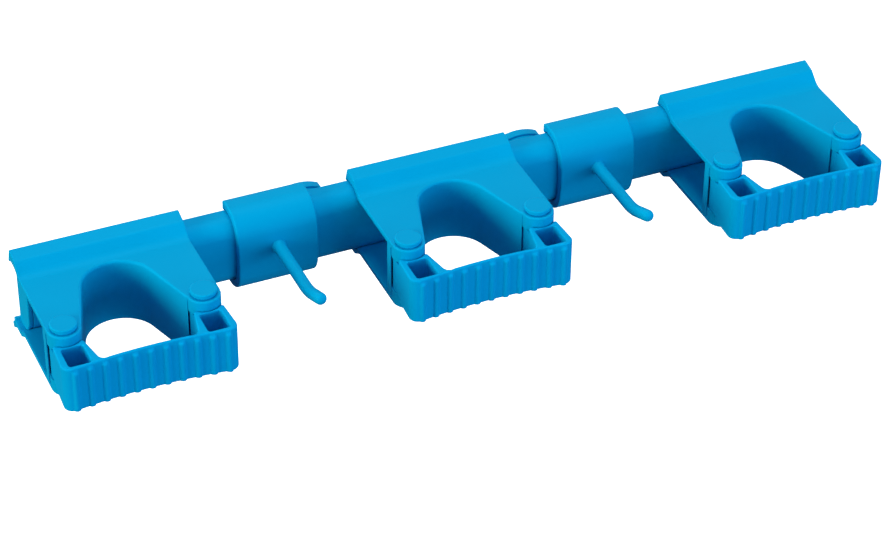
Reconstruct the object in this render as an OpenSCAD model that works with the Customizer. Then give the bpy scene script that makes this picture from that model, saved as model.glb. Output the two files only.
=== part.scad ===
// Wall rack for mops and brooms. A slim hollow rail stands off the wall on two brackets and carries
// clip-on grippers, each with an elastic ribbed band on two pins, and clip-on peg hooks between them.
// The origin is midway between the two wall screws, on the wall, at the middle of the rail's height.
// X runs along the rail, -Y points away from the wall and Z points up.

/* [Rail] */
// Length of the rail over its end caps
rail_l = 416; // [390:1:440]
// Height of the rail
rail_h = 36; // [34:0.5:40]
// Depth of the rail, from its flat back to the middle of its bowed front
rail_d = 15.7; // [14:0.1:18]
// Radius of the rail's front corners
rail_corner_r = 9.5; // [7:0.5:11]
// Radius of the rail's gently bowed front
rail_bow_r = 60; // [40:1:120]
// Radius of the rail's back corners
rail_back_r = 2; // [1:0.1:2.3]
// Wall of the rail
rail_wall = 2.4; // [1.8:0.1:3]
// Height of the slot along the rail's back
rail_slot_h = 14; // [10:0.5:18]
// Thickness of an end cap's plate
cap_t = 2.5; // [1.5:0.1:4]
// Length of the plug that holds an end cap in the rail
cap_plug_l = 9; // [5:0.5:15]

/* [Wall brackets] */
// Distance between the two wall screws
screw_spacing = 116.5; // [90:0.5:125]
// Middle of the rail, measured along X from the midpoint between the screws
rail_mid_x = 6.2; // [0:0.1:15]
// Gap between the wall and the rail's back
wall_gap = 7.5; // [7:0.1:10]
// Width of a bracket's plate
lug_w = 21.6; // [20:0.1:30]
// Height of a bracket's plate, over its crowned ends
lug_h = 34.8; // [32:0.2:40]
// Radius of the crowned ends of a bracket's plate
lug_crown_r = 23.5; // [21:0.5:40]
// Thickness of a bracket's plate
lug_t = 4.8; // [3:0.1:4.8]
// Diameter of the hole for a wall screw
screw_hole_d = 5.5; // [4:0.1:6.5]
// Diameter of the countersink for the screw's head
screw_head_d = 10.6; // [8:0.1:11.5]

/* [Gripper frame] */
// How far the frame of an outer gripper reaches past the rail's end
end_over = 2.5; // [0:0.5:6]
// Width of a gripper's frame
gripper_w = 83; // [79:0.5:87]
// Distance from the wall to the pins
pin_reach = 65; // [60:0.5:68]
// How far the top and bottom plates lie inside the rail's height
plate_drop = 1.15; // [0.6:0.05:2]
// Thickness of the top and bottom plates
plate_t = 2.4; // [1.8:0.1:3]
// Radius of the plates' fork tips
tip_r = 8; // [7.4:0.1:9]
// Radius of the arch at the back of the handle opening
arch_r = 17.2; // [14:0.1:19]
// Thickness of the arched wall between the plates
arch_t = 2.5; // [1.8:0.1:3.2]
// Thickness of the top jaw over the rail
jaw_t = 4.2; // [3:0.1:5]
// Thickness of the lower jaw under the rail
low_jaw_t = 2.6; // [2:0.1:4]

/* [Pins] */
// Diameter of a pin's shank
pin_d = 8; // [6:0.1:9]
// Diameter of a pin's head
pin_head_d = 14; // [12:0.1:15]
// Height of a pin's head
pin_head_h = 1.3; // [0.8:0.1:2]
// Length of the pin that shows below the bottom plate
pin_tail = 0.9; // [0.4:0.1:1.6]

/* [Grip band] */
// How far the band's corners stand past the sides of the frame
band_over = 0.7; // [0:0.1:3]
// Height of the band
band_h = 24.3; // [21:0.1:26]
// Distance from the wall to the band's front corners
band_reach = 90.8; // [87:0.2:96]
// How far the middle of the front strip is bowed inwards
band_bow = 3.3; // [1.5:0.1:5]
// Thickness of the front strip
strip_t = 1.7; // [1.5:0.1:3.5]
// Clear width between the corner blocks, at the strip
mouth_w = 44.2; // [40:0.2:47]
// Radius of the band's outer corners
band_corner_r = 4.5; // [3:0.1:6]
// Radius of the hub that turns on a pin
hub_r = 7.2; // [6.5:0.1:7.4]
// Height of the hub that turns on a pin
hub_h = 18; // [14:0.5:19]
// Distance between two ridges of the front strip
ridge_pitch = 7.28; // [6.5:0.02:7.5]
// Radius of a ridge
ridge_r = 1.6; // [1:0.1:2]
// How far a ridge stands out of the strip
ridge_out = 1.3; // [0.6:0.1:1.5]
// Width of the hollow cell in a corner block
cell_w = 10.1; // [8:0.1:11]
// Wall between the cell and the band's side
cell_side_wall = 4.4; // [3:0.1:5]
// Wall between the cell and the band's front
cell_front_wall = 2.4; // [2:0.1:5]
// Wall between the cell and the pin's collars
cell_back_wall = 1.6; // [1.5:0.1:4]

/* [Hooks] */
// Width of a hook's clip
hook_w = 40.5; // [32:0.5:42]
// Wall of a hook's clip
clip_t = 4.2; // [3:0.1:5]
// Diameter of a hook's rod
rod_d = 6; // [4.5:0.1:8]
// Height of the rod's root above the rail's middle
rod_z = 5; // [2:0.5:8]
// Length of the rod before it bends
rod_l = 32.5; // [25:0.5:45]
// Radius of the bend
rod_bend_r = 26; // [18:0.5:40]
// Length of the upturned end
rod_end_l = 11; // [6:0.5:16]
// Droop of the rod before it bends
rod_droop = 2.5; // [0:0.5:5]
// Angle of the upturned end over the level
rod_rise = 22.5; // [15:0.5:40]
// Length of the flare at the rod's root
rod_flare_l = 4.2; // [2:0.1:6]
// How far the flare spreads beyond the rod, inside the clip's wall
rod_flare = 3.4; // [1:0.1:4]

/* [Clearances] */
// Gap between the rail and what slides on it
clip_gap = 0.3; // [0.25:0.05:0.5]
// Radial gap between a pin and the hub that turns on it
pin_gap = 0.05; // [0.02:0.01:0.1]
// Gap between pieces that are fixed together
fit_gap = 0.1; // [0.05:0.05:0.2]
// Gap between a corner block and the strip, and between the halves of the strip
split_gap = 0.2; // [0.1:0.05:0.4]
// Gap round the parts of the frame that a corner block turns past
turn_gap = 0.4; // [0.3:0.05:0.8]

/* [Hidden] */
$fn = 64;
// Facets of the wide arcs and of the small ridges
bow_fn = 256;
arch_fn = 128;
ridge_fn = 24;
// Steps in which a rounded corner of an outline is drawn
arc_steps = 8;
// Overrun of every cut past the face that it opens
over = 1;

POLYPROPYLENE = "#0093d3";
RUBBER = "#0a8fcb";

// Places of the rail's outline, seen along X
rail_back_y = -wall_gap;
rail_front_y = rail_back_y - rail_d;
rail_bow_y = rail_front_y + rail_bow_r;
rail_corner_z = rail_h / 2 - rail_corner_r;
rail_corner_y = rail_bow_y - sqrt(pow(rail_bow_r - rail_corner_r, 2) - pow(rail_corner_z, 2));

// Lips that snap behind the rail's back
lip_t = 1.8;
lip_bite = 1.4;
lip_edge_r = 0.45;
lip_back_y = rail_back_y + clip_gap + lip_t;
lip_z = rail_h / 2 - lip_bite;

// Bracket: a raised boss seats the rail's back, and a head holds it from inside
boss_w = 20;
boss_h = 24;
head_h = 22;
head_t = 3;
head_back_y = rail_back_y - rail_wall - fit_gap;

// Top jaw of a gripper: the slanted end, the sloping crest and the shoulder down to the plate
jaw_slant = 2.6;
jaw_rise = 1.9;
jaw_over = 3;
jaw_fall = 1.95;
shoulder_run = 6.3;
jaw_edge_r = 1.2;
jaw_crest_r = 4;
jaw_foot_r = 9;
crest_z = rail_h / 2 + clip_gap + jaw_t + jaw_rise;
crest_front_y = rail_corner_y - jaw_over;

// Lower jaw of a gripper: it dips under the rail and ends in a flared lead-in
low_foot_over = 10;
low_jaw_over = 3.5;
flare_back = 3.1;
flare_drop = 2.7;
flare_t = 2.4;
flare_foot_run = 3.8;
flare_root_rise = 0.95;
flare_r = 1.1;
low_jaw_z = rail_h / 2 + clip_gap + low_jaw_t;

// Gripper frame, seen from above
gripper_pitch = rail_l / 2 + end_over - gripper_w / 2;
plate_z = rail_h / 2 - plate_drop;
pin_x = gripper_w / 2 - tip_r;
pin_y = -pin_reach;
arch_back_y = rail_front_y - clip_gap - arch_t;
arch_y = arch_back_y - arch_r;
fork_dist = norm([pin_x, pin_y - arch_y]);
fork_angle = atan2(pin_y - arch_y, pin_x) + acos((arch_r + tip_r) / fork_dist);
socket_gap = 0.8;
socket_t = 2.4;
socket_front = 2.4;
arch_end = 4;

// Grip band, seen from above
band_w = gripper_w + 2 * band_over;
band_bow_r = (pow(band_w / 2, 2) + pow(band_bow, 2)) / (2 * band_bow);
strip_pitches = 2.5;
strip_x = strip_pitches * ridge_pitch;
ridge_count = floor((band_w / 2 - band_corner_r) / ridge_pitch);
block_steps = 4;
strip_steps = 6;
mouth_r = 1.5;
cell_r = 1.2;

// Heads of the pins and roots of the hooks
pin_edge_r = 0.6;
pin_chamfer = 0.6;
rod_sink = 2.2;
rod_draft = 0.05;
flare_sink = 0.2;

GRIPPERS = ["left", "middle", "right"];
SIDES = ["left", "right"];

// A vector of length 1
function unit(v) = v / norm(v);

// Points of the arc that rounds corner b, which lies between points a and c
function corner_arc(a, b, c, r) =
    let (
        u = unit(a - b),
        v = unit(c - b),
        half = acos(u * v) / 2,
        centre = b + unit(u + v) * r / sin(half),
        first = atan2((b + u * r / tan(half) - centre).y, (b + u * r / tan(half) - centre).x),
        turn = sign(cross(b - a, c - b)) * (180 - 2 * half)
    )
    [for (k = [0 : arc_steps]) centre + r * [cos(first + turn * k / arc_steps), sin(first + turn * k / arc_steps)]];

// A closed outline whose corners are rounded, each by its own radius
function rounded(points, radii) =
    let (n = len(points))
    [for (i = [0 : n - 1]) each radii[i] > 0
        ? corner_arc(points[(i + n - 1) % n], points[i], points[(i + 1) % n], radii[i])
        : [points[i]]];

// Extrudes an outline that is drawn in Y and Z along X
module along_x(x0, x1) {
    translate([x0, 0, 0]) rotate([90, 0, 90]) linear_extrude(x1 - x0) children();
}

// Extrudes an outline that is drawn in X and Z away from the wall
module forward(y0, y1) {
    translate([0, y0, 0]) rotate([90, 0, 0]) linear_extrude(y0 - y1) children();
}

// Extrudes an outline that is drawn in X and Y from one height to another
module upward(z0, z1) {
    translate([0, 0, z0]) linear_extrude(z1 - z0) children();
}

// A rectangle from one corner to the other
module box2(x0, y0, x1, y1) {
    translate([x0, y0]) square([x1 - x0, y1 - y0]);
}

// The rail's outline, grown by a gap or shrunk by a wall
module rail_outline(grow) {
    half_h = rail_h / 2 + grow;
    back_y = rail_back_y + grow;
    back_r = rail_back_r + grow;
    // Flat back, whose corners are rounded unless the wall takes up their radius
    if (back_r > 0) {
        box2(rail_corner_y, -half_h, back_y - back_r, half_h);
        box2(rail_corner_y, back_r - half_h, back_y, half_h - back_r);
        for (s = [-1, 1]) translate([back_y - back_r, s * (half_h - back_r)]) circle(back_r);
    } else {
        box2(rail_corner_y, -half_h, back_y, half_h);
    }
    // Bowed front, which runs between the tangent points on the two corner circles
    intersection() {
        union() {
            for (s = [-1, 1]) translate([rail_corner_y, s * rail_corner_z]) circle(rail_corner_r + grow);
            intersection() {
                translate([rail_bow_y, 0]) circle(rail_bow_r + grow, $fn = bow_fn);
                polygon([
                    [rail_corner_y, -rail_corner_z],
                    [rail_corner_y, rail_corner_z],
                    [rail_corner_y, rail_corner_z] + rail_h * unit([rail_corner_y - rail_bow_y, rail_corner_z]),
                    [rail_corner_y, -rail_corner_z] + rail_h * unit([rail_corner_y - rail_bow_y, -rail_corner_z])
                ]);
            }
        }
        box2(rail_front_y - rail_d, -rail_h, rail_corner_y, rail_h);
    }
}

// Hollow rail with a slot along its back
module rail() {
    half_l = rail_l / 2 - cap_t - fit_gap;
    color(POLYPROPYLENE)
    along_x(rail_mid_x - half_l, rail_mid_x + half_l)
    difference() {
        rail_outline(0);
        rail_outline(-rail_wall);
        box2(rail_back_y - rail_wall - over, -rail_slot_h / 2, rail_back_y + over, rail_slot_h / 2);
    }
}

// End cap: a plate that closes the rail and a hollow plug that holds it there. It is drawn for the right end
module end_cap() {
    end_x = rail_l / 2;
    color(POLYPROPYLENE) {
        along_x(end_x - cap_t, end_x) rail_outline(0);
        along_x(end_x - cap_t - cap_plug_l, end_x - cap_t)
        difference() {
            rail_outline(-rail_wall - fit_gap);
            rail_outline(-2 * rail_wall - fit_gap);
        }
    }
}

// Wall bracket: crowned plate on the wall, boss behind the rail, neck through the slot and head inside
module wall_bracket() {
    crown_z = lug_h / 2 - lug_crown_r;
    boss_y = rail_back_y + fit_gap;
    head_y = head_back_y - head_t;
    neck_h = rail_slot_h - 2 * fit_gap;
    sink_l = (screw_head_d - screw_hole_d) / 2;
    color(POLYPROPYLENE)
    difference() {
        union() {
            forward(0, -lug_t)
            intersection() {
                box2(-lug_w / 2, -lug_h / 2, lug_w / 2, lug_h / 2);
                translate([0, crown_z]) circle(lug_crown_r);
                translate([0, -crown_z]) circle(lug_crown_r);
            }
            forward(-lug_t, boss_y) box2(-boss_w / 2, -boss_h / 2, boss_w / 2, boss_h / 2);
            forward(boss_y, head_back_y) box2(-boss_w / 2, -neck_h / 2, boss_w / 2, neck_h / 2);
            forward(head_back_y, head_y) box2(-boss_w / 2, -head_h / 2, boss_w / 2, head_h / 2);
        }
        translate([0, over, 0]) rotate([90, 0, 0]) cylinder(h = over - head_y + over, d = screw_hole_d);
        translate([0, head_y + sink_l, 0]) rotate([90, 0, 0])
            cylinder(h = sink_l, d1 = screw_hole_d, d2 = screw_head_d);
    }
}

// The handle opening of a gripper, grown by the wall that runs round it
module handle_opening(grow) {
    n = [cos(fork_angle), sin(fork_angle)];
    arch_tangent = [0, arch_y] + (arch_r + grow) * n;
    fork_tangent = [pin_x, pin_y] - (tip_r - grow) * n;
    mouth_y = pin_y - tip_r - over;
    translate([0, arch_y]) circle(arch_r + grow, $fn = arch_fn);
    polygon([
        arch_tangent,
        fork_tangent,
        [fork_tangent.x, mouth_y],
        [-fork_tangent.x, mouth_y],
        [-fork_tangent.x, fork_tangent.y],
        [-arch_tangent.x, arch_tangent.y]
    ]);
}

// A plate's outline seen from above: a wide back and two round fork tips
module fork_outline() {
    difference() {
        union() {
            box2(-gripper_w / 2, pin_y, gripper_w / 2, 0);
            for (s = [-1, 1]) translate([s * pin_x, pin_y]) circle(tip_r);
        }
        handle_opening(0);
    }
}

// Top plate and jaw of a gripper, seen along X: the jaw arches over the rail and snaps behind it
module top_jaw_outline() {
    front_y = pin_y - tip_r - over;
    polygon(rounded(
        [
            [lip_back_y, lip_z],
            [lip_back_y - jaw_slant, crest_z],
            [crest_front_y, crest_z - jaw_fall],
            [crest_front_y - shoulder_run, plate_z],
            [front_y, plate_z],
            [front_y, plate_z - plate_t],
            [rail_corner_y, plate_z - plate_t],
            [rail_corner_y, lip_z]
        ],
        [lip_edge_r, jaw_edge_r, jaw_crest_r, jaw_foot_r, 0, 0, 0, 0]
    ));
}

// Bottom plate and jaw of a gripper, seen along X: it dips under the rail and ends in a flared lead-in
module low_jaw_outline() {
    front_y = pin_y - tip_r - over;
    flare_z = low_jaw_z + flare_drop;
    polygon(rounded(
        [
            [lip_back_y, -lip_z],
            [lip_back_y, flare_root_rise - low_jaw_z],
            [lip_back_y + flare_back, flare_t - flare_z],
            [lip_back_y + flare_back - flare_r, -flare_z - flare_r],
            [lip_back_y - flare_foot_run, -low_jaw_z],
            [rail_corner_y - low_jaw_over, -low_jaw_z],
            [rail_corner_y - low_foot_over, -plate_z],
            [front_y, -plate_z],
            [front_y, plate_t - plate_z],
            [rail_corner_y, plate_t - plate_z],
            [rail_corner_y, -lip_z]
        ],
        [lip_edge_r, 0, flare_r, flare_r, jaw_crest_r, jaw_crest_r, jaw_crest_r, 0, 0, 0, 0]
    ));
}

// Gripper frame: two forked plates joined by an arched wall, with sockets behind the hubs and jaws for the rail
module gripper_frame() {
    half_w = gripper_w / 2;
    collar_z = hub_h / 2 + turn_gap;
    socket_r = hub_r + socket_gap;
    color(POLYPROPYLENE)
    difference() {
        union() {
            intersection() {
                along_x(-half_w, half_w) top_jaw_outline();
                upward(0, crest_z + over) fork_outline();
            }
            intersection() {
                along_x(-half_w, half_w) low_jaw_outline();
                upward(-crest_z - rail_h, 0) fork_outline();
            }
            // Arched wall round the handle opening, and the socket walls behind the hubs
            upward(-plate_z, plate_z)
            difference() {
                intersection() {
                    union() {
                        handle_opening(arch_t);
                        for (s = [-1, 1]) translate([s * pin_x, pin_y]) circle(socket_r + socket_t);
                    }
                    union() {
                        box2(-half_w, pin_y + arch_end, half_w, rail_corner_y);
                        for (s = [-1, 1])
                            translate([s * (pin_x + half_w) / 2 - (half_w - pin_x) / 2, pin_y + socket_front])
                                square([half_w - pin_x, arch_end]);
                    }
                }
                handle_opening(0);
                for (s = [-1, 1]) translate([s * pin_x, pin_y]) circle(socket_r);
            }
            // Collars that close on the hubs from above and below, flush with the fork tips
            for (s = [-1, 1], t = [0, 1]) mirror([0, 0, t])
                translate([s * pin_x, pin_y, collar_z]) cylinder(h = plate_z - collar_z, r = tip_r);
        }
        along_x(-half_w - over, half_w + over) rail_outline(clip_gap);
        for (s = [-1, 1]) translate([s * pin_x, pin_y, -plate_z - over])
            cylinder(h = 2 * (plate_z + over), d = pin_d + 2 * pin_gap);
    }
}

// Pin: round-edged head on the top plate and a shank through both collars and the hub
module pin() {
    head_r = pin_head_d / 2;
    shank_r = pin_d / 2;
    color(POLYPROPYLENE)
    translate([pin_x, pin_y, 0])
    rotate_extrude() polygon(rounded(
        [
            [0, plate_z + pin_head_h],
            [head_r, plate_z + pin_head_h],
            [head_r, plate_z + fit_gap],
            [shank_r, plate_z + fit_gap],
            [shank_r, pin_chamfer - plate_z - pin_tail],
            [shank_r - pin_chamfer, -plate_z - pin_tail],
            [0, -plate_z - pin_tail]
        ],
        [0, pin_edge_r, 0, 0, 0, 0, 0]
    ));
}

// The bowed front of the band at a distance from its middle
function front_y(x) = band_bow - band_reach - band_bow_r + sqrt(pow(band_bow_r, 2) - pow(x, 2));

// A ridge of the band's front
module ridge(x) {
    translate([x, front_y(x) + ridge_r - ridge_out, -band_h / 2]) cylinder(h = band_h, r = ridge_r, $fn = ridge_fn);
}

// Corner block of the band: hub on the pin, hollow cell and the ribbed corner. It is drawn for the right side
module grip_block() {
    side_x = band_w / 2;
    split_x = strip_x + split_gap / 2;
    step = (side_x - split_x) / block_steps;
    collar_gap_r = tip_r + turn_gap;
    cell_x = side_x - cell_side_wall - cell_w;
    cell_y = front_y(side_x - cell_side_wall) + cell_front_wall;
    cell_back_y = pin_y - collar_gap_r - cell_back_wall;
    front = [for (k = [block_steps : -1 : 0]) [split_x + k * step, front_y(split_x + k * step)]];
    outline = concat(
        [[pin_x - hub_r, pin_y], [pin_x + hub_r, pin_y]],
        front,
        [[split_x, front_y(split_x) + strip_t], [mouth_w / 2, front_y(mouth_w / 2) + strip_t]]
    );
    radii = concat([0, 0, band_corner_r], [for (k = [1 : block_steps]) 0], [0, mouth_r]);
    color(RUBBER)
    difference() {
        union() {
            difference() {
                upward(-band_h / 2, band_h / 2) polygon(rounded(outline, radii));
                translate([pin_x, pin_y, -band_h / 2 - over]) cylinder(h = band_h + 2 * over, r = collar_gap_r);
                upward(-band_h / 2 - over, band_h / 2 + over)
                    box2(pin_x - collar_gap_r, pin_y, pin_x + collar_gap_r, pin_y + collar_gap_r);
            }
            // The hub between the collars, with its web to the block
            upward(-hub_h / 2, hub_h / 2) {
                translate([pin_x, pin_y]) circle(hub_r);
                intersection() {
                    polygon(rounded(outline, radii));
                    translate([pin_x, pin_y]) circle(collar_gap_r + over);
                }
            }
            for (k = [1 : ridge_count]) if (k > strip_pitches) ridge(k * ridge_pitch);
        }
        translate([pin_x, pin_y, -hub_h / 2 - over]) cylinder(h = hub_h + 2 * over, d = pin_d + 2 * pin_gap);
        upward(-band_h / 2 - over, band_h / 2 + over)
            polygon(rounded(
                [
                    [cell_x, cell_y],
                    [cell_x + cell_w, cell_y],
                    [cell_x + cell_w, cell_back_y],
                    [cell_x, cell_back_y]
                ],
                [cell_r, cell_r, cell_r, cell_r]
            ));
    }
}

// Half of the ribbed front strip, which bends when a handle is pushed in. It is drawn for the right side
module front_strip() {
    inner_x = split_gap / 2;
    outer_x = strip_x - split_gap / 2;
    step = (outer_x - inner_x) / strip_steps;
    front = [for (k = [0 : strip_steps]) [inner_x + k * step, front_y(inner_x + k * step)]];
    back = [for (k = [strip_steps : -1 : 0]) [inner_x + k * step, front_y(inner_x + k * step) + strip_t]];
    color(RUBBER) {
        upward(-band_h / 2, band_h / 2) polygon(concat(front, back));
        intersection() {
            for (k = [0 : ridge_count]) if (k < strip_pitches) ridge(k * ridge_pitch);
            upward(-band_h / 2, band_h / 2) box2(inner_x, front_y(0) - band_bow - ridge_out, outer_x, front_y(0) + strip_t);
        }
    }
}

// Peg hook on a clip: the clip wraps the rail, and the rod runs out level and turns up at its end
module hook() {
    clip_front_y = rail_front_y - clip_gap - clip_t;
    rod_r = rod_d / 2;
    color(POLYPROPYLENE)
    union() {
        along_x(-hook_w / 2, hook_w / 2)
        difference() {
            rail_outline(clip_gap + clip_t);
            rail_outline(clip_gap);
            box2(lip_back_y, -rail_h, lip_back_y + rail_d, rail_h);
            box2(rail_back_y - over, -lip_z, lip_back_y + over, lip_z);
        }
        // Rod, drawn along its own axis, which starts inside the clip's front and droops a little
        translate([0, clip_front_y + rod_sink, rod_z]) rotate([90 + rod_droop, 0, 0]) {
            cylinder(h = rod_l + rod_sink, r = rod_r);
            cylinder(h = rod_sink + rod_flare_l, r1 = rod_r + rod_flare, r2 = rod_r - flare_sink);
            translate([0, rod_bend_r, rod_l + rod_sink]) rotate([90, 0, -90]) {
                rotate_extrude(angle = rod_droop + rod_rise) translate([rod_bend_r, 0]) circle(rod_r);
                // The end starts inside the bend, and its draft makes it a little slimmer
                rotate([0, 0, rod_droop + rod_rise]) translate([rod_bend_r, -over, 0]) rotate([-90, 0, 0]) {
                    cylinder(h = over + rod_end_l, r = rod_r - rod_draft);
                    translate([0, 0, over + rod_end_l]) sphere(rod_r - rod_draft);
                }
            }
        }
    }
}

// Places a gripper's piece along the rail
module at_gripper(i) {
    translate([rail_mid_x + (i - 1) * gripper_pitch, 0, 0]) children();
}

// Mirrors a piece that is drawn for the right side when it belongs to the left
module on_side(s) {
    mirror([1 - s, 0, 0]) children();
}

rail();
for (s = [0, 1]) {
    sign_x = 2 * s - 1;
    translate([rail_mid_x, 0, 0]) on_side(s) end_cap();
    translate([sign_x * screw_spacing / 2, 0, 0]) wall_bracket();
    translate([rail_mid_x + sign_x * gripper_pitch / 2, 0, 0]) hook();
}
for (i = [0 : len(GRIPPERS) - 1]) {
    at_gripper(i) gripper_frame();
    for (s = [0, 1]) {
        name = str(GRIPPERS[i], "_gripper_", SIDES[s]);
        at_gripper(i) on_side(s) pin();
        at_gripper(i) on_side(s) grip_block();
        at_gripper(i) on_side(s) front_strip();
    }
}
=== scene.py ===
import math

import bmesh
import bpy
from mathutils import Matrix, Vector


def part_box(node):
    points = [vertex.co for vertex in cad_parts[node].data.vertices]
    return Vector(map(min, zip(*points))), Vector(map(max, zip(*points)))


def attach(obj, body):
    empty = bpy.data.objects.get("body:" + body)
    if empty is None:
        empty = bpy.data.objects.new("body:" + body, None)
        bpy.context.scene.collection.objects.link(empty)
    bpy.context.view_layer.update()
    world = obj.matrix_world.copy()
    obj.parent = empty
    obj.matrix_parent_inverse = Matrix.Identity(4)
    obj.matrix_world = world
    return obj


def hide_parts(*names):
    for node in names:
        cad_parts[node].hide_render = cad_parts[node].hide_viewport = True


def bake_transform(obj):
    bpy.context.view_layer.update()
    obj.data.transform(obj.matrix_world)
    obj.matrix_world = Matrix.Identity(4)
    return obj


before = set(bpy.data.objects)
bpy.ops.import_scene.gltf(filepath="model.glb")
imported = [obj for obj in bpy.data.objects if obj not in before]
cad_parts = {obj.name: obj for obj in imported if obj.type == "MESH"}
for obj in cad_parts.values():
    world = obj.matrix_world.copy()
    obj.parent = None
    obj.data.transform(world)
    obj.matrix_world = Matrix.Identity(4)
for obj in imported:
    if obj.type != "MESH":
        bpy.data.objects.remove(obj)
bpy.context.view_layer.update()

# Rail: a slim hollow profile of blue polypropylene with a bowed front and a slot along its back.
# It is extruded and sawn to length, so its long edges are soft and its ends are crisp.
# The two wall brackets hold it off the wall, and every other piece clips over it.
MM = 0.001
RAIL_EDGE = 0.35 * MM
EDGE_STEPS = 2
CREASE = math.radians(28)
WELD = 0.002 * MM
FLAT = math.radians(0.6)
PLASTIC_BLUE = "#00a7da"
PLASTIC_DEEP = "#00a0d4"
SHEEN_TINT = "#18b4ff"
FLOW_CLOUD = 24 * MM
# The grain is drawn coarser than the real one, so that a picture of the whole rack can hold it
MOULD_GRAIN = 0.55 * MM
GRAIN_DEPTH = 0.2 * MM
GRAIN_SHARE = 0.05


def linear(hex_colour):
    """An sRGB hex colour as linear values."""
    parts = [int(hex_colour[i:i + 2], 16) / 255 for i in (1, 3, 5)]
    return [c / 12.92 if c <= 0.04045 else ((c + 0.055) / 1.055) ** 2.4 for c in parts] + [1]


def add_node(tree, kind, inputs=None, **settings):
    """Adds a node to a tree, with its settings, its input values and its links."""
    made = tree.nodes.new(kind)
    for name, value in settings.items():
        setattr(made, name, value)
    for name, value in (inputs or {}).items():
        if isinstance(value, bpy.types.NodeSocket):
            tree.links.new(value, made.inputs[name])
        else:
            made.inputs[name].default_value = value
    return made


def moulded_skin(name, pale, deep, smooth, rough):
    """The skin of a moulded plastic: a fine spark-eroded grain, a colour that clouds a little along the flow,
    and a gloss that changes with it, because the skin is smoother where the melt met the tool last."""
    made = bpy.data.materials.new(name)
    made.use_nodes = True
    tree = made.node_tree
    tree.nodes.clear()
    place = add_node(tree, "ShaderNodeTexCoord").outputs["Object"]
    noise = add_node(tree, "ShaderNodeTexNoise", {"Vector": place, "Scale": 1 / FLOW_CLOUD, "Detail": 2.0})
    cloud = noise.outputs["Fac"]
    colour = add_node(tree, "ShaderNodeMix", {"Factor": cloud}, data_type="RGBA")
    colour.inputs["A"].default_value = linear(deep)
    colour.inputs["B"].default_value = linear(pale)
    fine = add_node(tree, "ShaderNodeTexNoise", {"Vector": place, "Scale": 1 / MOULD_GRAIN, "Detail": 1.0})
    bump = add_node(tree, "ShaderNodeBump", {
        "Height": fine.outputs["Fac"], "Strength": GRAIN_SHARE, "Distance": GRAIN_DEPTH,
    })
    gloss = add_node(tree, "ShaderNodeMapRange", {"Value": cloud, "To Min": smooth, "To Max": rough})
    skin = add_node(tree, "ShaderNodeBsdfPrincipled", {
        "Base Color": colour.outputs["Result"], "Roughness": gloss.outputs["Result"],
        "Normal": bump.outputs["Normal"], "IOR": 1.49, "Specular IOR Level": 0.13,
        "Specular Tint": linear(SHEEN_TINT),
    })
    add_node(tree, "ShaderNodeOutputMaterial", {"Surface": skin.outputs["BSDF"]})
    return made


# Satin polypropylene, dyed through: waxy, with a soft sheen
polypropylene = moulded_skin("satin_polypropylene", PLASTIC_BLUE, PLASTIC_DEEP, smooth=0.38, rough=0.5)


def placed(shape, name):
    """An object of that name, which takes the shape as its mesh."""
    mesh = bpy.data.meshes.new(name)
    shape.to_mesh(mesh)
    shape.free()
    piece = bpy.data.objects.new(name, mesh)
    bpy.context.scene.collection.objects.link(piece)
    return piece


def settle(piece, skin):
    """Turns a piece and its modifiers into a plain mesh whose flat faces shade flat."""
    flats = piece.modifiers.new("flats", "WEIGHTED_NORMAL")
    flats.keep_sharp = True
    settled = piece.evaluated_get(bpy.context.evaluated_depsgraph_get())
    piece.data = bpy.data.meshes.new_from_object(settled)
    piece.modifiers.clear()
    piece.data.materials.clear()
    piece.data.materials.append(skin)


def cut_or_join(piece, tool, operation):
    """Cuts a closed piece by another, or joins them, and removes the other."""
    change = piece.modifiers.new("change", "BOOLEAN")
    change.operation = operation
    change.solver = "MANIFOLD"
    change.object = tool
    changed = piece.evaluated_get(bpy.context.evaluated_depsgraph_get())
    piece.data = bpy.data.meshes.new_from_object(changed)
    piece.modifiers.clear()
    bpy.data.objects.remove(tool)


def whole_faces(node):
    """The shape of a solid, in which the triangles of each flat face are one face."""
    shape = bmesh.new()
    shape.from_mesh(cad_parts[node].data)
    bmesh.ops.remove_doubles(shape, verts=shape.verts, dist=WELD)
    bmesh.ops.dissolve_limit(shape, angle_limit=FLAT, verts=shape.verts, edges=shape.edges)
    return shape


def moulded_copy(node, name, edge_r, edge_share=None, roll=None, pad=None):
    """A copy of a solid whose edges are rounded, as a moulding's are. edge_share gives the share of the
    radius that an edge gets from its middle. roll is a solid that cuts a wider rounding, and pad one that is
    added."""
    shape = whole_faces(node)
    weight = shape.edges.layers.float.new("bevel_weight_edge")
    for edge in shape.edges:
        if edge.calc_face_angle(0) > CREASE:
            edge[weight] = edge_share((edge.verts[0].co + edge.verts[1].co) / 2) if edge_share else 1
            edge.smooth = edge[weight] > 0
    for face in shape.faces:
        face.smooth = True
    piece = placed(shape, name)
    rounding = piece.modifiers.new("rounding", "BEVEL")
    rounding.width = edge_r
    rounding.segments = EDGE_STEPS
    rounding.limit_method = "WEIGHT"
    rounding.use_clamp_overlap = False
    rounding.loop_slide = False
    if roll:
        cut_or_join(piece, roll, "DIFFERENCE")
    if pad:
        cut_or_join(piece, pad, "UNION")
    settle(piece, polypropylene)
    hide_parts(node)
    return piece


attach(moulded_copy("rail", "rail_profile", RAIL_EDGE), "rack")

# End caps: moulded plugs that close the sawn ends of the rail. Each is pressed into the hollow profile
# until its plate meets the rail's end, and its rim is rounded.
CAP_EDGE = 0.6 * MM

for side in ("left", "right"):
    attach(moulded_copy(f"{side}_end_cap", f"{side}_end_plug", CAP_EDGE), "rack")

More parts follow.
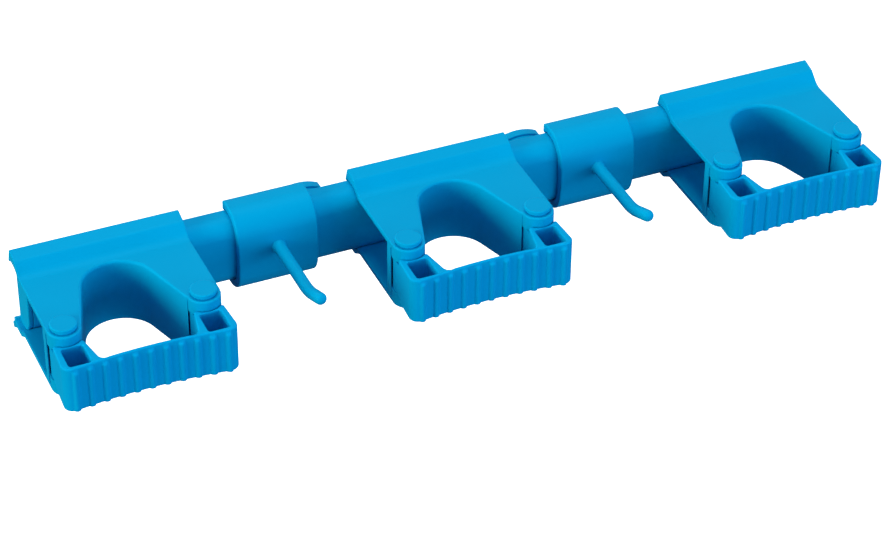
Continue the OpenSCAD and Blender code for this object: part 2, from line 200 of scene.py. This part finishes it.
# Wall brackets: moulded lugs with a crowned plate on the wall and a head that grips the rail's slot.
# A countersunk screw goes through each into the wall.
LUG_EDGE = 0.4 * MM
LUG_T = 4.8 * MM
PAD_ROOT = LUG_T - 2 * LUG_EDGE
PAD_BACK = 7.3 * MM
PAD_W = 20.4 * MM
PAD_H = 32.6 * MM
CROWN_R = 23.5 * MM
CROWN_STEPS = 16


def spread(first, last, steps):
    """Values at even steps from the first to the last."""
    return [first + (last - first) * k / steps for k in range(steps + 1)]


def crowned_pad(middle_x):
    """The step of a lug that fills the gap behind the rail, a little lower than the lug's plate."""
    across = spread(-PAD_W / 2, PAD_W / 2, CROWN_STEPS)
    crown = [(x, PAD_H / 2 - CROWN_R + math.sqrt(CROWN_R ** 2 - x ** 2)) for x in across]
    outline = crown + [(-x, -z) for x, z in crown]
    shape = bmesh.new()
    front = shape.faces.new([shape.verts.new((middle_x + x, -PAD_BACK, z)) for x, z in outline])
    grown = bmesh.ops.extrude_face_region(shape, geom=[front], use_keep_orig=True)["geom"]
    for vert in grown:
        if isinstance(vert, bmesh.types.BMVert):
            vert.co.y = -PAD_ROOT
    bmesh.ops.recalc_face_normals(shape, faces=shape.faces)
    return placed(shape, "pad")


for side in ("left", "right"):
    low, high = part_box(f"{side}_wall_bracket")
    pad = crowned_pad((low.x + high.x) / 2)
    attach(moulded_copy(f"{side}_wall_bracket", f"{side}_wall_lug", LUG_EDGE, pad=pad), "rack")

# Peg hooks: moulded clips that snap over the rail, each with a round peg that runs forward and turns up
# at its end. The clip's ends are rounded over, and the peg's root swells into the clip.
HOOK_END_R = 0.8 * MM
HOOK_END_STEPS = 4
END_FACING = 0.99
PEG_R = 3 * MM
PEG_Z = 3.5 * MM
PEG_SINK = 2.2 * MM
PEG_RUN = 33.5 * MM
PEG_BEND_R = 26 * MM
PEG_RISE = math.radians(22.5)
PEG_END = 11 * MM
PEG_SIDES = 40
RUN_STEPS = 12
BEND_STEPS = 10
DOME_STEPS = 7
ROOT_L = 2.4 * MM
ROOT_SWELL = 0.7 * MM
ROOT_FALL = 2.5
MITRE_LIMIT = 0.5
MERGE = 0.0005 * MM
SHARP = math.radians(40)


def unit(turn):
    """The way at a turn, in radians, from the first of two axes."""
    return Vector((math.cos(turn), math.sin(turn)))


def round_over(steps, radius):
    """Pairs of how far in and how far down each ring of a rounded edge lies, from its crest to its wall."""
    turns = spread(0, math.pi / 2, steps)
    return [(radius * (1 - math.sin(t)), radius * (1 - math.cos(t))) for t in turns]


def drawn_in(outline, inset, closed=True, shares=None):
    """An outline of 2D points moved to its left by an inset, with its corners kept mitred. shares gives
    the share of the inset that each point gets."""
    count = len(outline)
    moved = []
    for i, point in enumerate(outline):
        before = outline[i - 1] if closed or i else None
        after = outline[(i + 1) % count] if closed or i + 1 < count else None
        spans = ((before, point), (point, after))
        sides = [(end - start).normalized() for start, end in spans if start and end]
        lefts = [Vector((-side.y, side.x)) for side in sides]
        across = sum(lefts, Vector((0, 0))).normalized()
        depth = inset * shares[i] if shares else inset
        moved.append(point + across * depth / max(across.dot(lefts[0]), MITRE_LIMIT))
    return moved


def bridge(shape, rings, closed=True):
    """Joins rings of vertices, each to the next, by quads."""
    for near, far in zip(rings, rings[1:]):
        count = len(near)
        for i in range(count if closed else count - 1):
            j = (i + 1) % count
            shape.faces.new((near[i], near[j], far[j], far[i]))


def cap(shape, *loops):
    """Fills the flat face between loops of vertices."""
    edges = [shape.edges.get((a, b)) or shape.edges.new((a, b))
             for loop in loops for a, b in zip(loop, loop[1:] + loop[:1])]
    bmesh.ops.triangle_fill(shape, edges=edges, use_beauty=True)


def close_up(shape):
    """Merges doubles, drops empty faces, turns all faces outwards and shades them smooth."""
    bmesh.ops.remove_doubles(shape, verts=shape.verts, dist=MERGE)
    bmesh.ops.dissolve_degenerate(shape, edges=shape.edges, dist=MERGE)
    bmesh.ops.recalc_face_normals(shape, faces=shape.faces)
    for edge in shape.edges:
        edge.smooth = edge.calc_face_angle(0) < SHARP
    for face in shape.faces:
        face.smooth = True


def end_outline(node):
    """The outline of a solid's left end, as points of Y and Z."""
    shape = whole_faces(node)
    ends = [face for face in shape.faces if -face.normal.x > END_FACING]
    end = max(ends, key=lambda face: face.calc_area())
    outline = [Vector((vert.co.y, vert.co.z)) for vert in end.verts]
    shape.free()
    turn = sum(a.x * b.y - a.y * b.x for a, b in zip(outline, outline[1:] + outline[:1]))
    return outline if turn > 0 else outline[::-1]


for side in ("left", "right"):
    node = f"{side}_hook"
    low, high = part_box(node)
    middle_x = (low.x + high.x) / 2
    outline = end_outline(node)
    steps = round_over(HOOK_END_STEPS, HOOK_END_R)
    stations = [(low.x + down, inset) for inset, down in steps]
    stations += [(high.x - down, inset) for inset, down in reversed(steps)]
    clip = bmesh.new()
    rings = [[clip.verts.new((x, p.x, p.y)) for p in drawn_in(outline, inset)] for x, inset in stations]
    bridge(clip, rings)
    cap(clip, rings[0])
    cap(clip, rings[-1])
    close_up(clip)
    piece = placed(clip, f"{side}_peg_hook")

    # The peg's centre line lies in Y and Z, and each of its stations has a slope and a radius
    clip_y = min(p.x for p in outline)
    path = [(Vector((clip_y + PEG_SINK, PEG_Z)), 0, PEG_R + ROOT_SWELL)]
    for k in range(RUN_STEPS + 1):
        away = PEG_RUN * (k / RUN_STEPS) ** 2
        swell = ROOT_SWELL * max(0, 1 - away / ROOT_L) ** ROOT_FALL
        path.append((Vector((clip_y - away, PEG_Z)), 0, PEG_R + swell))
    centre = path[-1][0] + Vector((0, PEG_BEND_R))
    for slope in spread(0, PEG_RISE, BEND_STEPS)[1:]:
        path.append((centre - Vector((math.sin(slope), math.cos(slope))) * PEG_BEND_R, slope, PEG_R))
    end_way = Vector((-math.cos(PEG_RISE), math.sin(PEG_RISE)))
    tip = path[-1][0] + end_way * PEG_END
    for t in spread(0, math.pi / 2, DOME_STEPS)[:-1]:
        path.append((tip + end_way * PEG_R * math.sin(t), PEG_RISE, PEG_R * math.cos(t)))
    peg = bmesh.new()
    rings = []
    for place, slope, radius in path:
        up = Vector((math.sin(slope), math.cos(slope)))
        round_points = [unit(t) * radius for t in spread(0, 2 * math.pi, PEG_SIDES)[:-1]]
        rings.append([peg.verts.new((middle_x + p.x, *(place + up * p.y))) for p in round_points])
    bridge(peg, rings)
    cap(peg, rings[0])
    crown = peg.verts.new((middle_x, *(tip + end_way * PEG_R)))
    for a, b in zip(rings[-1], rings[-1][1:] + rings[-1][:1]):
        peg.faces.new((a, b, crown))
    close_up(peg)
    cut_or_join(piece, placed(peg, "peg"), "UNION")
    settle(piece, polypropylene)
    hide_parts(node)
    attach(piece, node)

# Gripper frames: stiff mouldings of two forked plates and an arched wall, with jaws that snap over the rail.
# The rim of the handle opening is rolled over, so that a handle slides in without a scratch.
FRAME_EDGE = 0.4 * MM
GRIPPERS = ("left", "middle", "right")
PLATE_Z = 16.85 * MM
ARCH_R = 17.2 * MM
ARCH_BACK = -26.0 * MM
ARCH_STEPS = 40
TIP_R = 8 * MM
TIP_STEPS = 32
ROLL_BACK = 1.5 * MM
ROLL_FORK = 0.9 * MM
ROLL_OVER = 1.2 * MM
ROLL_STEPS = 6
HUB_ROOM_Z = 15.5 * MM
HUB_ROOM_Y = -50 * MM
# The tip of the arched wall beside the right pin, in mm from it: clear of the block, which turns by 20 degrees
WALL_TIP = ((-9.82, 4.4), (-9.69, 4.0), (-8.34, -0.2), (-8.27, -0.4), (-8.15, -0.45), (-8.02, -0.25),
            (-7.75, 0.9), (-7.45, 2.5), (-6.95, 4.0), (-6.95, 4.4))
WALL_TIP_Z = 15 * MM


def rim_path(middle_x, pin):
    """Stations round the top rim of a frame, from the outside of the left tip to that of the right one:
    place, the way into the plate, and the radius of the rolled edge there."""
    arch = Vector((0, ARCH_BACK - ARCH_R))
    reach = pin - arch
    lean = math.atan2(reach.y, reach.x) + math.acos((ARCH_R + TIP_R) / reach.length)
    half = [(arch + unit(t) * ARCH_R, unit(t)) for t in spread(math.pi / 2, lean, ARCH_STEPS)]
    half += [(pin + unit(t) * TIP_R, -unit(t)) for t in spread(lean + math.pi, 2 * math.pi, TIP_STEPS)]
    left = [(Vector((-place.x, place.y)), Vector((-way.x, way.y))) for place, way in half[:0:-1]]
    path = []
    for place, way in left + half:
        share = min(1, max(0, (place.y - pin.y) / (ARCH_BACK - pin.y)))
        path.append((Vector((place.x + middle_x, place.y)), way, ROLL_FORK + (ROLL_BACK - ROLL_FORK) * share))
    return path


def rim_cutter(path):
    """The solid that a rolled edge lacks, swept along the rim."""
    shape = bmesh.new()
    rings = []
    for place, way, radius in path:
        section = [(-ROLL_OVER, ROLL_OVER), (radius, ROLL_OVER)]
        section += [(inset, -down) for inset, down in round_over(ROLL_STEPS, radius)]
        section += [(-ROLL_OVER, -radius)]
        rings.append([shape.verts.new((place.x + way.x * u, place.y + way.y * u, PLATE_Z + w))
                      for u, w in section])
    bridge(shape, rings)
    cap(shape, rings[0])
    cap(shape, rings[-1])
    close_up(shape)
    return placed(shape, "rim_cutter")


def wall_tips(middle_x, pin):
    """The tapered tips of a frame's arched wall, which reach past the hubs."""
    shape = bmesh.new()
    for hand in (-1, 1):
        outline = [(middle_x + hand * (pin.x + x * MM), pin.y + y * MM) for x, y in WALL_TIP]
        rings = [[shape.verts.new((x, y, z)) for x, y in outline] for z in (-WALL_TIP_Z, WALL_TIP_Z)]
        bridge(shape, rings)
        cap(shape, rings[0])
        cap(shape, rings[1])
    close_up(shape)
    return placed(shape, "wall_tips")


def fork_share(place):
    """No rounding on the small edges round the hubs."""
    return 0 if abs(place.z) < HUB_ROOM_Z and place.y < HUB_ROOM_Y else 1


for gripper in GRIPPERS:
    name = f"{gripper}_gripper"
    low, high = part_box(f"{name}_frame")
    middle_x = (low.x + high.x) / 2
    low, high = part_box(f"{name}_right_pin")
    pin = Vector(((low.x + high.x) / 2 - middle_x, (low.y + high.y) / 2))
    roll = rim_cutter(rim_path(middle_x, pin))
    tips = wall_tips(middle_x, pin)
    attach(moulded_copy(f"{name}_frame", f"{name}_fork", FRAME_EDGE, fork_share, roll, tips), name)

# Pins: round-headed pins that are pressed through the fork's collars and hold the band's hubs.
# Each is moulded of the same polypropylene, with a round-edged head that stands on a narrower neck.
PIN_R = 4 * MM
PIN_SIDES = 64
TAIL_EDGE = 0.6 * MM
NECK_R = 5.6 * MM
NECK_H = 1.0 * MM
HEAD_R = 6.4 * MM
HEAD_H = 1.3 * MM
HEAD_RISE = 1.4 * MM
HEAD_EDGE = 0.7 * MM
HEAD_STEPS = 5

for gripper in GRIPPERS:
    for side in ("left", "right"):
        node = f"{gripper}_gripper_{side}_pin"
        low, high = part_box(node)
        pin = Vector(((low.x + high.x) / 2, (low.y + high.y) / 2))
        seat = high.z - HEAD_H
        crest = high.z + HEAD_RISE
        profile = [(PIN_R - TAIL_EDGE, low.z), (PIN_R, low.z + TAIL_EDGE), (PIN_R, seat), (NECK_R, seat),
                   (NECK_R, seat + NECK_H), (HEAD_R, seat + NECK_H)]
        head_edge = reversed(round_over(HEAD_STEPS, HEAD_EDGE))
        profile += [(HEAD_R - inset, crest - down) for inset, down in head_edge]
        lathe = bmesh.new()
        ways = [unit(t) for t in spread(0, 2 * math.pi, PIN_SIDES)[:-1]]
        rings = [[lathe.verts.new((*(pin + way * radius), z)) for way in ways] for radius, z in profile]
        bridge(lathe, rings)
        cap(lathe, rings[0])
        cap(lathe, rings[-1])
        close_up(lathe)
        piece = placed(lathe, f"{gripper}_gripper_{side}_rivet")
        settle(piece, polypropylene)
        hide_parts(node)
        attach(piece, f"{gripper}_gripper")

# Grip bands: soft mouldings of blue thermoplastic rubber, each with a hollow corner block on either pin and
# a ribbed strip between them. A handle pushes the strip in, and the blocks turn and close on it.
# Each half is drawn apart, and the halves meet at the middle ridge.
BAND_W = 84.4 * MM
BAND_H = 24.3 * MM
BAND_REACH = 90.8 * MM
BAND_BOW = 3.3 * MM
BAND_CORNER_R = 4.5 * MM
CORNER_STEPS = 20
STRIP_T = 1.7 * MM
STRIP_STEPS = 12
MOUTH_W = 46.4 * MM
MOUTH_SLIM = 1.2 * MM
MOUTH_R = 3.0 * MM
HUB_R = 7.2 * MM
HUB_H = 18 * MM
HUB_LEAD = 4
COLLAR_GAP_R = 8.4 * MM
COLLAR_STEPS = 24
CUSP_R = 1.1 * MM
CUSP_STEPS = 8
BORE_R = 4.05 * MM
BORE_SIDES = 48
CELL_W = 10.7 * MM
CELL_SIDE = 3.8 * MM
CELL_FRONT = 2.4 * MM
CELL_BACK = 0.9 * MM
CELL_R = 1.4 * MM
RIM_R = 0.9 * MM
RIM_STEPS = 4
THIN_RIM = 0.33
RIDGE_PITCH = 7.28 * MM
RIDGE_R = 1.6 * MM
RIDGE_OUT = 1.3 * MM
RIDGE_FOOT = 0.35 * MM
RIDGE_FADE = 2.2 * MM
FADE_STEPS = 4
COLUMNS = 24
CORNER_RIBBED = 7
RUBBER_BLUE = "#00a8e0"
RUBBER_DEEP = "#00a0da"


def front_y(x):
    """The bowed front of a band at a distance from its middle."""
    bow_r = ((BAND_W / 2) ** 2 + BAND_BOW ** 2) / (2 * BAND_BOW)
    return BAND_BOW - BAND_REACH - bow_r + math.sqrt(bow_r ** 2 - x ** 2)


def arc(centre, radius, first, last, steps):
    """Points of an arc, with its angles in radians."""
    return [centre + unit(t) * radius for t in spread(first, last, steps)]


def rounded_corner(before, corner, after, radius, steps=6):
    """Points of the arc that rounds a corner between two straight sides."""
    back = (before - corner).normalized()
    on = (after - corner).normalized()
    half = back.angle(on) / 2
    centre = corner + (back + on).normalized() * radius / math.sin(half)
    start = corner + back * radius / math.tan(half) - centre
    sweep = (math.pi - 2 * half) * (1 if back.cross(on) < 0 else -1)
    first = math.atan2(start.y, start.x)
    return arc(centre, radius, first, first + sweep, steps)


def half_band_outline(pin):
    """The outline of a right half seen from above, from the middle of its front round to the middle of its
    back, and the same outline at the height of the hub. Also each point's share of the rim's rounding, which
    is less on the thin wall by the collar, and the count of points on the ribbed front."""
    side_x = BAND_W / 2
    near_x = side_x - BAND_CORNER_R
    corner = Vector((side_x, front_y(side_x)))
    outer = Vector((pin.x + HUB_R, pin.y))
    inner = Vector((pin.x - HUB_R + MOUTH_SLIM, pin.y))
    mouth = Vector((MOUTH_W / 2, front_y(MOUTH_W / 2) + STRIP_T))
    bend = rounded_corner(Vector((near_x, front_y(near_x))), corner, outer, BAND_CORNER_R, CORNER_STEPS)
    count = round(bend[0].x / RIDGE_PITCH * COLUMNS)
    front = [Vector((x, front_y(x))) for x in spread(0, bend[0].x, count)[:-1]]

    def leaves(near, far, radius):
        """Where the line from near to far leaves the circle of that radius round the pin."""
        way = (far - near).normalized()
        lean = (near - pin).dot(way)
        return near + way * (math.sqrt(lean ** 2 + radius ** 2 - (near - pin).length_squared) - lean)

    def cusp(near, far, hand):
        """The round edge between the line from near to far and the room for the frame's collar. It starts
        on the line."""
        way = (far - near).normalized()
        inward = Vector((way.y, -way.x)) * hand
        centre = leaves(near + inward * CUSP_R, far + inward * CUSP_R, COLLAR_GAP_R + CUSP_R)
        first = math.atan2(-inward.y, -inward.x)
        last = math.atan2(*(pin - centre).yx)
        return arc(centre, CUSP_R, first, first + math.remainder(last - first, 2 * math.pi), CUSP_STEPS)

    outer_cusp = cusp(outer, corner, 1)
    inner_cusp = cusp(inner, mouth, -1)[::-1]
    first = math.atan2(*(outer_cusp[-1] - pin).yx)
    last = math.atan2(*(inner_cusp[0] - pin).yx)
    notch = arc(pin, COLLAR_GAP_R, first, last, COLLAR_STEPS)[1:-1]
    room = outer_cusp + notch + inner_cusp
    hub = [leaves(outer, corner, COLLAR_GAP_R)] * HUB_LEAD
    hub += arc(pin, HUB_R, 0, math.pi, len(room) - 2 * HUB_LEAD - 1)
    hub += [leaves(inner, mouth, COLLAR_GAP_R)] * HUB_LEAD
    around = front + bend
    back = rounded_corner(inner, mouth, Vector((0, mouth.y)), MOUTH_R)
    back += [Vector((x, front_y(x) + STRIP_T)) for x in spread(back[-1].x, 0, STRIP_STEPS)[1:]]
    thinning = spread(1, THIN_RIM, CUSP_STEPS)
    shares = [1] * len(around) + thinning + [THIN_RIM] * len(notch) + thinning[::-1] + [1] * len(back)
    return around + room + back, around + hub + back, shares, len(front) + CORNER_RIBBED


def ridge_tree(skin):
    """Geometry nodes that raise the ridges out of a band's front, where its attribute ridge_share says so."""
    tree = bpy.data.node_groups.new("band_ridges", "GeometryNodeTree")
    tree.interface.new_socket("Geometry", in_out="INPUT", socket_type="NodeSocketGeometry")
    for name in ("Pitch", "Radius", "Stand-out", "Foot", "Middle"):
        tree.interface.new_socket(name, in_out="INPUT", socket_type="NodeSocketFloat")
    tree.interface.new_socket("Geometry", in_out="OUTPUT", socket_type="NodeSocketGeometry")
    values = dict(add_node(tree, "NodeGroupInput").outputs.items())
    place = add_node(tree, "GeometryNodeInputPosition").outputs[0]
    values["x"] = add_node(tree, "ShaderNodeSeparateXYZ", {0: place}).outputs["X"]
    share = add_node(tree, "GeometryNodeInputNamedAttribute", {"Name": "ridge_share"}, data_type="FLOAT")
    values["share"] = share.outputs["Attribute"]
    # A ridge is the part of a round rod that stands out of the front, and its feet run out softly
    sums = (
        ("half", "MULTIPLY", "Pitch", 0.5),
        ("low", "MULTIPLY", "half", -1.0),
        ("along", "SUBTRACT", "x", "Middle"),
        ("across", "WRAP", "along", "half", "low"),
        ("radius squared", "POWER", "Radius", 2.0),
        ("across squared", "MULTIPLY", "across", "across"),
        ("square", "SUBTRACT", "radius squared", "across squared"),
        ("square on the rod", "MAXIMUM", "square", 0.0),
        ("crest", "SQRT", "square on the rod"),
        ("sunk", "SUBTRACT", "Radius", "Stand-out"),
        ("above", "SUBTRACT", "crest", "sunk"),
        ("height", "SMOOTH_MAX", "above", 0.0, "Foot"),
        ("shared height", "MULTIPLY", "height", "share"),
        ("out", "MULTIPLY", "shared height", -1.0),
    )
    for name, operation, *terms in sums:
        inputs = {i: values.get(term, term) for i, term in enumerate(terms)}
        values[name] = add_node(tree, "ShaderNodeMath", inputs, operation=operation).outputs[0]
    offset = add_node(tree, "ShaderNodeCombineXYZ", {"Y": values["out"]}).outputs[0]
    raised = add_node(tree, "GeometryNodeSetPosition", {"Geometry": values["Geometry"], "Offset": offset})
    real = add_node(tree, "GeometryNodeRealizeInstances", {"Geometry": raised.outputs[0]})
    worn = add_node(tree, "GeometryNodeSetMaterial", {"Geometry": real.outputs[0], "Material": skin})
    add_node(tree, "NodeGroupOutput", {"Geometry": worn.outputs[0]})
    return tree


# Soft thermoplastic rubber, dyed through: duller than the frame and finely grained
rubber = moulded_skin("soft_rubber", RUBBER_BLUE, RUBBER_DEEP, smooth=0.48, rough=0.6)
ridges = ridge_tree(rubber)


def half_band(name, middle_x, pin, hand):
    """One half of a band as a closed mesh, with its rims rounded, its cell open and its hub bored."""
    plain, hubbed, shares, ribbed = half_band_outline(pin)
    rim = round_over(RIM_STEPS, RIM_R)
    top = BAND_H / 2
    hub_top = HUB_H / 2

    # Each level has an outline, its inset, its height and the share of the ridges' height
    levels = [(plain, inset, down - top, 1 - inset / RIM_R) for inset, down in rim]
    levels += [(plain, 0, -hub_top, 1), (hubbed, 0, -hub_top, 1)]
    levels += [(hubbed, 0, hub_top, 1), (plain, 0, hub_top, 1)]
    levels += [(plain, 0, top - RIM_R - RIDGE_FADE * (1 - fade), math.cos(math.pi / 2 * fade) ** 2)
               for fade in spread(0, 1, FADE_STEPS)]
    levels += [(plain, inset, top - down, 0) for inset, down in reversed(rim[:-1])]
    shape = bmesh.new()
    ridge_share = shape.verts.layers.float.new("ridge_share")

    def ring(outline, inset, z, closed, shares=None):
        """A ring of vertices at a height, drawn in from an outline."""
        moved = drawn_in(outline, inset, closed, shares)
        return [shape.verts.new((middle_x + hand * p.x, p.y, z)) for p in moved]

    skins = []
    for outline, inset, z, ridge in levels:
        skins.append(ring(outline, inset, z, False, shares))
        for vert in skins[-1][:ribbed]:
            vert[ridge_share] = ridge
    bridge(shape, skins, closed=False)
    cell_x = BAND_W / 2 - CELL_SIDE
    cell_low = front_y(cell_x) + CELL_FRONT
    cell_high = pin.y - COLLAR_GAP_R - CELL_BACK
    corners = [Vector(p) for p in ((cell_x - CELL_W, cell_low), (cell_x - CELL_W, cell_high),
                                   (cell_x, cell_high), (cell_x, cell_low))]
    cell = []
    for i, corner in enumerate(corners):
        cell += rounded_corner(corners[i - 1], corner, corners[(i + 1) % len(corners)], CELL_R)
    walls = [ring(cell, inset * THIN_RIM, down - top, True) for inset, down in rim]
    walls += [ring(cell, inset * THIN_RIM, top - down, True) for inset, down in reversed(rim)]
    bridge(shape, walls)
    cap(shape, skins[0], walls[0])
    cap(shape, skins[-1], walls[-1])
    bridge(shape, [[loop[0], loop[-1]] for loop in skins], closed=False)
    close_up(shape)
    piece = placed(shape, name)
    bore = bmesh.new()
    spot = Matrix.Translation((middle_x + hand * pin.x, pin.y, 0))
    bmesh.ops.create_cone(bore, cap_ends=True, segments=BORE_SIDES, radius1=BORE_R, radius2=BORE_R,
                          depth=BAND_H, matrix=spot)
    cut_or_join(piece, placed(bore, "bore"), "DIFFERENCE")
    work = piece.modifiers.new("ridges", "NODES")
    work.node_group = ridges
    sizes = {"Pitch": RIDGE_PITCH, "Radius": RIDGE_R, "Stand-out": RIDGE_OUT, "Foot": RIDGE_FOOT,
             "Middle": middle_x}
    for socket in ridges.interface.items_tree:
        if socket.in_out == "INPUT" and socket.name in sizes:
            work[socket.identifier] = sizes[socket.name]
    settle(piece, rubber)
    return piece


for gripper in GRIPPERS:
    name = f"{gripper}_gripper"
    low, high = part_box(f"{name}_frame")
    middle_x = (low.x + high.x) / 2
    for side, hand in (("left", -1), ("right", 1)):
        low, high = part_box(f"{name}_{side}_pin")
        pin = Vector((abs((low.x + high.x) / 2 - middle_x), (low.y + high.y) / 2))
        piece = half_band(f"{name}_{side}_band", middle_x, pin, hand)
        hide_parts(f"{name}_{side}_grip_block", f"{name}_{side}_front_strip")
        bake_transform(piece)

# Studio: a pale floor far below the rack, a soft light above it, one on its left and one before it, and the
# photograph's view. The rack hangs free, as it would on its wall.
FLOOR_DROP = 0.6
FLOOR_HALF = 6.0
FLOOR_GLOW = 0.8
PAPER_WHITE = "#f7f7f6"
GLOW_WHITE = "#ffffff"
SKY_TINT = "#c4d8ff"
SKY_TOP = 0.5
SKY_EDGE = 0.57
SKY_BELOW = 0.07
HORIZON = 0.15
CAMERA_PLACE = Vector((-459.13, -1083.62, 824.13)) * MM
CAMERA_TURN = math.radians(23.95)
CAMERA_DIP = math.radians(36.713)
CAMERA_ROLL = math.radians(0.6)
LENS = 117.015
SENSOR = 36
NEAR_CLIP = 0.05

floor_mesh = bpy.data.meshes.new("floor")
corners = [(x * FLOOR_HALF, y * FLOOR_HALF, -FLOOR_DROP) for x, y in ((-1, -1), (1, -1), (1, 1), (-1, 1))]
floor_mesh.from_pydata(corners, [], [(0, 1, 2, 3)])
floor = bpy.data.objects.new("floor", floor_mesh)
bpy.context.scene.collection.objects.link(floor)

# Matt white paper that glows a little, so that its edge doesn't show against the light
paper = bpy.data.materials.new("studio_paper")
paper.use_nodes = True
paper_skin = paper.node_tree.nodes["Principled BSDF"].inputs
paper_skin["Base Color"].default_value = linear(PAPER_WHITE)
paper_skin["Roughness"].default_value = 0.9
paper_skin["Emission Color"].default_value = linear(GLOW_WHITE)
paper_skin["Emission Strength"].default_value = FLOOR_GLOW
floor_mesh.materials.append(paper)
floor.visible_diffuse = False
floor.visible_glossy = False

world = bpy.data.worlds.new("soft_room")
bpy.context.scene.world = world
world.use_nodes = True
room = world.node_tree
room.nodes.clear()
way = add_node(room, "ShaderNodeTexCoord").outputs["Generated"]
up = add_node(room, "ShaderNodeSeparateXYZ", {0: way}).outputs["Z"]
above = add_node(room, "ShaderNodeMapRange", {
    "Value": up, "To Min": SKY_EDGE, "To Max": SKY_TOP,
}).outputs["Result"]
sky = add_node(room, "ShaderNodeMapRange", {
    "Value": up, "From Min": -HORIZON, "From Max": 0.0, "To Min": SKY_BELOW, "To Max": above,
}).outputs["Result"]
glow = add_node(room, "ShaderNodeBackground", {"Color": linear(SKY_TINT), "Strength": sky})
add_node(room, "ShaderNodeOutputWorld", {"Surface": glow.outputs["Background"]})


def soft_box(name, place, width, height, power, tint):
    """A soft light of that width and height, which looks at the rack."""
    lamp = bpy.data.lights.new(name, "AREA")
    lamp.shape = "RECTANGLE"
    lamp.size = width
    lamp.size_y = height
    lamp.energy = power
    lamp.color = linear(tint)[:3]
    holder = bpy.data.objects.new(name, lamp)
    holder.location = place
    holder.rotation_euler = (-Vector(place)).to_track_quat("-Z", "Y").to_euler()
    bpy.context.scene.collection.objects.link(holder)


soft_box("key_light", place=(0.15, 0.5, 2.6), width=1.4, height=1.1, power=33, tint="#fffce2")
soft_box("side_fill", place=(-3.2, -0.45, 0.75), width=1.8, height=1.2, power=86, tint="#fffce0")
soft_box("front_fill", place=(1.4, -2.4, 0.1), width=2.6, height=1.2, power=42, tint="#e8eeff")

lens = bpy.data.cameras.new("photo_view")
lens.lens = LENS
lens.sensor_width = SENSOR
lens.clip_start = NEAR_CLIP
view = bpy.data.objects.new("photo_view", lens)
turned = Matrix.Rotation(-CAMERA_TURN, 4, "Z") @ Matrix.Rotation(math.pi / 2 - CAMERA_DIP, 4, "X")
view.matrix_world = Matrix.Translation(CAMERA_PLACE) @ turned @ Matrix.Rotation(CAMERA_ROLL, 4, "Z")
bpy.context.scene.collection.objects.link(view)
bpy.context.scene.camera = view
bpy.context.scene.view_settings.view_transform = "Standard"
